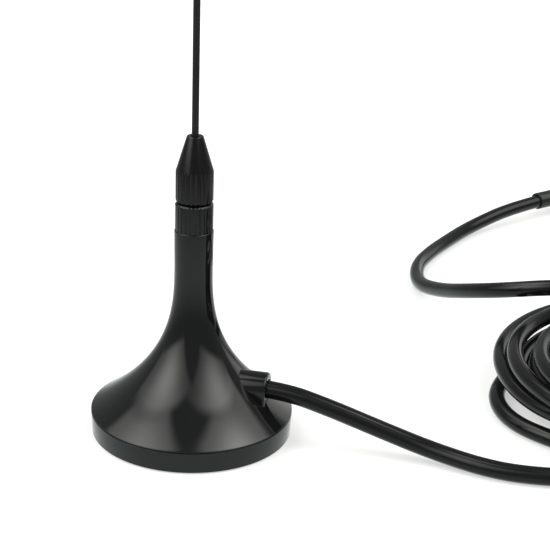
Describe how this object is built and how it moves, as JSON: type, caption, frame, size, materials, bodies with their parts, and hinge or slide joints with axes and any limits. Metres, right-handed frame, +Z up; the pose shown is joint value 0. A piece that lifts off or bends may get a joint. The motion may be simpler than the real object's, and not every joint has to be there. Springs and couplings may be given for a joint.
{
  "type": "magnet-mount whip antenna",
  "caption": "Short black whip antenna on a trumpet-shaped magnet base, with a knurled cone nut and a coiled coaxial lead that ends in a threaded jack.",
  "frame": {"origin": "centre of the pad's underside, on the surface that the antenna stands on", "axes": "+Z up along the whip; the lead leaves the base towards +X"},
  "size_m": [0.1222, 0.14, 0.118],
  "materials": {
    "housing_gloss": "polished black moulding",
    "pad_rubber": "matt black rubber",
    "magnet_ferrite": "grey ceramic magnet",
    "cup_steel": "pressed steel",
    "black_plating": "turned metal, black plated",
    "whip_black": "black coated spring wire",
    "copper": "bare copper",
    "solder": "bright solder",
    "dielectric": "natural polyethylene",
    "tinned_braid": "tinned braid",
    "crimp_metal": "plain crimp ring",
    "cable_jacket": "satin black cable jacket",
    "shrink_sleeve": "black shrink sleeve",
    "jack_gold": "gold plated",
    "insulator_white": "white insulator"
  },
  "bodies": {
    "root": {"base_housing": "housing_gloss", "bottom_pad": "pad_rubber", "base_magnet": "magnet_ferrite", "pole_cup": "cup_steel", "threaded_insert": "black_plating", "whip_ferrule": "black_plating", "whip_rod": "whip_black", "feed_wire": "copper", "feed_solder": "solder", "core_conductor": "copper", "core_dielectric": "dielectric", "shield_braid": "tinned_braid", "shield_solder": "solder", "cable_crimp_ring": "crimp_metal", "cable_lead": "cable_jacket", "cable_coil": "cable_jacket", "cable_tail": "cable_jacket", "heat_shrink_sleeve": "shrink_sleeve", "crimp_ferrule": "jack_gold", "tail_braid": "tinned_braid", "tail_dielectric": "dielectric", "tail_conductor": "copper", "connector_body": "jack_gold", "connector_insulator": "insulator_white", "connector_contact": "jack_gold"}
  },
  "joints": []
}
